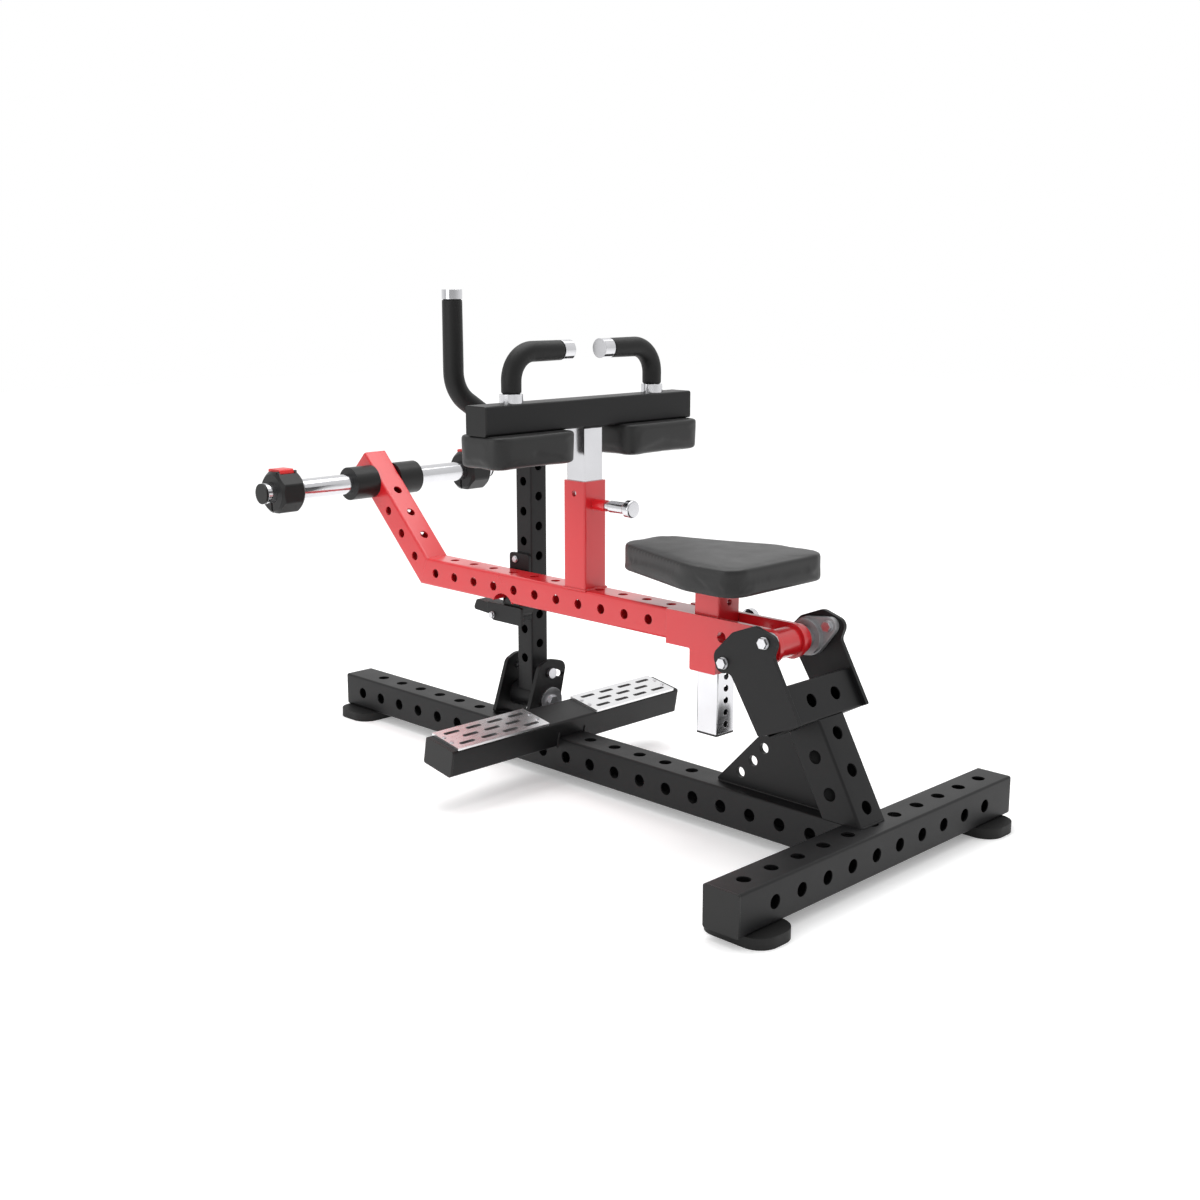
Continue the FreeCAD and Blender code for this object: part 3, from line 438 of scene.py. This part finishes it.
low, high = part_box("thigh_sleeve")
arm_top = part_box("lever_arm")[1].z
bead("weld_thigh_sleeve", [(low.x, low.y, arm_top), (high.x, low.y, arm_top), (high.x, high.y, arm_top),
                           (low.x, high.y, arm_top)], (0, 0, 1), True, red_coat, "lever", "lever_red")
rail_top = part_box("main_rail")[1].z
low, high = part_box("tower_tube")
gusset_low, gusset_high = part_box("tower_gusset")
for name, y in (("rear", low.y), ("front", gusset_low.y)):
    bead("weld_tower_" + name, [(low.x + 0.004, y, rail_top), (high.x - 0.004, y, rail_top)],
         (0, 0, 1), False, black_coat, "root", "frame_black")
for name, x in (("left", gusset_low.x), ("right", gusset_high.x)):
    bead("weld_gusset_" + name, [(x, gusset_low.y + 0.003, rail_top), (x, gusset_high.y - 0.003, rail_top)],
         (0, 0, 1), False, black_coat, "root", "frame_black")
rail_low, rail_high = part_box("main_rail")
low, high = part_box("footrest_beam")
middle = np.array([0, (low.y + high.y) / 2, (low.z + high.z) / 2])
deep = np.array([0, math.cos(FOOTREST_TILT), math.sin(FOOTREST_TILT)]) * FOOTREST_DEEP / 2
tall = np.array([0, -math.sin(FOOTREST_TILT), math.cos(FOOTREST_TILT)]) * FOOTREST_HIGH / 2
for name, x in (("left", rail_low.x), ("right", rail_high.x)):
    there = middle + np.array([x, 0, 0])
    bead("weld_footrest_" + name,
         [there - deep + tall * 0.2, there - deep - tall, there + deep - tall, there + deep],
         (1, 0, 0), False, black_coat, "root", "frame_black")
low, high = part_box("weight_horn")
arm_low, arm_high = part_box("lever_riser")
horn = np.array([0, (low.y + high.y) / 2, (low.z + high.z) / 2])
turn = np.linspace(0, 2 * math.pi, 48, endpoint=False)
for name, x in (("left", arm_low.x), ("right", arm_high.x)):
    circle = np.column_stack([np.full(48, x), horn[1] + HORN_RADIUS * np.cos(turn),
                              horn[2] + HORN_RADIUS * np.sin(turn)])
    bead("weld_horn_" + name, circle, (1, 0, 0), True, red_coat, "lever", "lever_red")
low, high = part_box("thigh_post")
beam_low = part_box("thigh_beam")[0].z
bead("weld_thigh_post", [(low.x, low.y, beam_low), (high.x, low.y, beam_low), (high.x, high.y, beam_low),
                         (low.x, high.y, beam_low)], (0, 0, 1), True, black_coat, "thigh_rest", "frame_black")


# ---- Seat and thigh pads ----------------------------------------------------------------------------
# Moulded foam on a board, wrapped in black grained vinyl. The cover is drawn tight over the foam and
# stapled to the board, so the faces are nearly flat, the edges crisp and the board side plane. The seat's
# board is underneath, and the thigh pads' boards are on top, screwed to their beam.
PAD_CROWN = 0.002
PAD_EDGE = 0.006
PAD_HEM = 0.004              # how far the cover is drawn in under the board side
PAD_GRID = 0.006             # outline spacing
VOXEL = 0.004
PRESSURE = 4.0
PUFF_LIMIT = 0.0016


def rounded_outline(corners, spacing):
    """Closed outline with an arc of its own radius at every corner (x, y, radius), evenly spaced points."""
    points = np.array([c[:2] for c in corners], float)
    out = []
    for k, (x, y, radius) in enumerate(corners):
        here = points[k]
        a, b = points[k - 1] - here, points[(k + 1) % len(points)] - here
        room = 0.49 * min(np.linalg.norm(a), np.linalg.norm(b))
        a, b = a / np.linalg.norm(a), b / np.linalg.norm(b)
        half = math.acos(np.clip(a @ b, -1, 1)) / 2
        radius = min(radius, room * math.tan(half))
        centre = here + (a + b) / np.linalg.norm(a + b) * radius / math.sin(half)
        start = here + a * radius / math.tan(half) - centre
        turn = np.linspace(0, math.pi - 2 * half, 16)[:, None]
        out.append(centre + start * np.cos(turn) - a * radius * np.sin(turn))
    line = np.concatenate(out + [out[0][:1]])
    run = np.concatenate([[0], np.cumsum(np.linalg.norm(np.diff(line, axis=0), axis=1))])
    at = np.linspace(0, run[-1], int(run[-1] / spacing), endpoint=False)
    return np.stack([np.interp(at, run, line[:, 0]), np.interp(at, run, line[:, 1])], 1)


def pad_surface(outline, low, high, grow):
    """Closed pad: the outline shrinks to the centre as the top rises to its crown, turns over a quarter-round
    edge, drops down the side and shrinks again across the flat underside."""
    centre = outline.mean(0)
    reach = np.linalg.norm(outline - centre, axis=1)[:, None]
    inwards = (centre - outline) / reach
    rim = high - PAD_CROWN
    quarter = np.linspace(0, math.pi / 2, 7)
    rows = []
    for share in (0.05, 0.25, 0.45, 0.65, 0.82):
        level = rim + PAD_CROWN * (1 - share ** 2)
        rows.append((centre + (outline - centre) * share * (1 - PAD_EDGE / reach), level))
    for angle in quarter:
        rows.append((outline + inwards * (PAD_EDGE * (1 - math.sin(angle)) + grow), rim - PAD_EDGE *
                     (1 - math.cos(angle))))
    rows.append((outline + inwards * grow, (rim + low) / 2))
    rows.append((outline + inwards * grow, low + PAD_HEM))
    rows.append((outline + inwards * (PAD_HEM + grow), low))
    rows.append((centre + (outline - centre) * 0.5, low))
    rows.append((centre + (outline - centre) * 0.05, low))
    points = np.concatenate([np.column_stack([flat, np.full(len(flat), level)]) for flat, level in rows])
    count = len(outline)
    here = np.arange(count)
    ahead = (here + 1) % count
    last = (len(rows) - 1) * count
    tops = np.array([[*centre, high], [*centre, low]])
    top, bottom = np.full(count, len(points)), np.full(count, len(points) + 1)
    fans = np.stack([np.stack([top, ahead, here], 1), np.stack([bottom, last + here, last + ahead], 1)], 1)
    faces = quads(len(rows), count) + fans.reshape(-1, 3).tolist()
    return np.concatenate([points, tops]), faces


def places(mesh):
    """Every point of a mesh as one array."""
    flat = np.empty(3 * len(mesh.vertices), np.float32)
    mesh.vertices.foreach_get("co", flat)
    return flat.reshape(-1, 3).astype(float)


def stuffed(name, node, corners, low, high, body, board_on_top=False):
    """Padded piece: the surface is remeshed, blown up as cloth with its board side held, and capped in its
    travel. A pad whose board is on top is the same surface turned over."""
    outline = rounded_outline(corners, PAD_GRID)
    grow = 0.001
    points, faces = pad_surface(outline, low, high, grow)
    board = low
    if board_on_top:
        points[:, 2] = low + high - points[:, 2]
        board = high
    made = piece(name, points, faces, vinyl, body, "pad_vinyl")
    outwards(made)
    remesh = made.modifiers.new("even", "REMESH")
    remesh.mode = "VOXEL"
    remesh.voxel_size = VOXEL
    bpy.ops.object.modifier_apply(modifier="even")
    rest = places(made.data)
    held = made.vertex_groups.new(name="board")
    held.add(np.flatnonzero(np.abs(rest[:, 2] - board) < 0.006).tolist(), 1.0, "REPLACE")
    cloth = made.modifiers.new("cloth", "CLOTH")
    cloth.settings.use_pressure = True
    cloth.settings.uniform_pressure_force = PRESSURE
    cloth.settings.effector_weights.gravity = 0
    cloth.settings.vertex_group_mass = "board"
    for step in range(1, 21):
        bpy.context.scene.frame_set(step)
    shaped = made.evaluated_get(bpy.context.evaluated_depsgraph_get())
    puffed = places(shaped.data)
    made.modifiers.remove(cloth)
    move = puffed - rest
    far = np.linalg.norm(move, axis=1)[:, None]
    move *= np.minimum(1, PUFF_LIMIT / np.maximum(far, 1e-9))
    made.data.vertices.foreach_set("co", (rest + move).ravel())
    made.data.update()
    bpy.context.scene.frame_set(1)
    smooth = made.modifiers.new("relax", "SMOOTH")
    smooth.iterations = 3
    smooth.factor = 0.5
    bpy.ops.object.modifier_apply(modifier="relax")
    made.data.shade_smooth()
    finer = made.modifiers.new("finer", "SUBSURF")
    finer.levels = finer.render_levels = 1
    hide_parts(node)


def vinyl_skin():
    """Grained vinyl: pebbles from a smooth Voronoi pattern, broken by noise, with soft slow creases."""
    made = bpy.data.materials.new("vinyl")
    made.use_nodes = True
    tree = made.node_tree
    link = tree.links.new
    place = add(tree, "ShaderNodeTexCoord")
    pebble = add(tree, "ShaderNodeTexVoronoi", {"Scale": 520.0, "Smoothness": 0.6}, feature="SMOOTH_F1")
    crease = add(tree, "ShaderNodeTexNoise", {"Scale": 26.0, "Detail": 4.0})
    link(place.outputs["Object"], pebble.inputs["Vector"])
    link(place.outputs["Object"], crease.inputs["Vector"])
    fine = add(tree, "ShaderNodeBump", {"Strength": 0.5, "Distance": 0.00025}, invert=True)
    link(pebble.outputs["Distance"], fine.inputs["Height"])
    wide = add(tree, "ShaderNodeBump", {"Strength": 0.12, "Distance": 0.0006})
    link(crease.outputs["Fac"], wide.inputs["Height"])
    link(fine.outputs["Normal"], wide.inputs["Normal"])
    rough = add(tree, "ShaderNodeMapRange", {"To Min": 0.36, "To Max": 0.52})
    link(crease.outputs["Fac"], rough.inputs["Value"])
    tone = add(tree, "ShaderNodeMix", {6: (0.007, 0.007, 0.007, 1), 7: (0.014, 0.014, 0.014, 1)},
               data_type="RGBA")
    link(crease.outputs["Fac"], tone.inputs[0])
    lit = tree.nodes["Principled BSDF"]
    link(tone.outputs[2], lit.inputs["Base Color"])
    link(rough.outputs["Result"], lit.inputs["Roughness"])
    link(wide.outputs["Normal"], lit.inputs["Normal"])
    lit.inputs["Sheen Weight"].default_value = 0.03
    lit.inputs["Specular IOR Level"].default_value = 0.38
    return made


vinyl = vinyl_skin()
low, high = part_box("seat_cushion")
wide, back, nose = (high.x - low.x) / 2, low.y, high.y
SEAT_WAIST = 0.066
stuffed("seat_pad", "seat_cushion",
        [(-wide, back, 0.045), (wide, back, 0.045), (wide, back + 0.128, 0.12), (SEAT_WAIST, nose, 0.056),
         (-SEAT_WAIST, nose, 0.056), (-wide, back + 0.128, 0.12)], low.z, high.z, "seat")
for hand in ("left", "right"):
    low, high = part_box("thigh_pad_" + hand)
    stuffed("thigh_cushion_" + hand, "thigh_pad_" + hand,
            [(low.x, low.y, 0.025), (high.x, low.y, 0.025), (high.x, high.y, 0.025), (low.x, high.y, 0.025)],
            low.z, high.z, "thigh_rest", board_on_top=True)


# ---- Floor ------------------------------------------------------------------------------------------
# A wide matt sheet lies under the feet, as pale as the room. It glows a little, so that it runs into the
# room without a dark horizon.
floor_mesh = bpy.data.meshes.new("floor")
reach = 12.0
floor_mesh.from_pydata([(-reach, -reach, 0), (reach, -reach, 0), (reach, reach, 0), (-reach, reach, 0)], [],
                       [(0, 1, 2, 3)])
floor = bpy.data.objects.new("floor", floor_mesh)
floor_paint = bpy.data.materials.new("floor_paint")
floor_paint.use_nodes = True
lit = floor_paint.node_tree.nodes["Principled BSDF"]
lit.inputs["Base Color"].default_value = (0.97, 0.97, 0.97, 1)
lit.inputs["Roughness"].default_value = 0.9
lit.inputs["Emission Color"].default_value = (1, 1, 1, 1)
lit.inputs["Emission Strength"].default_value = 0.22
floor_mesh.materials.append(floor_paint)
bpy.context.scene.collection.objects.link(floor)
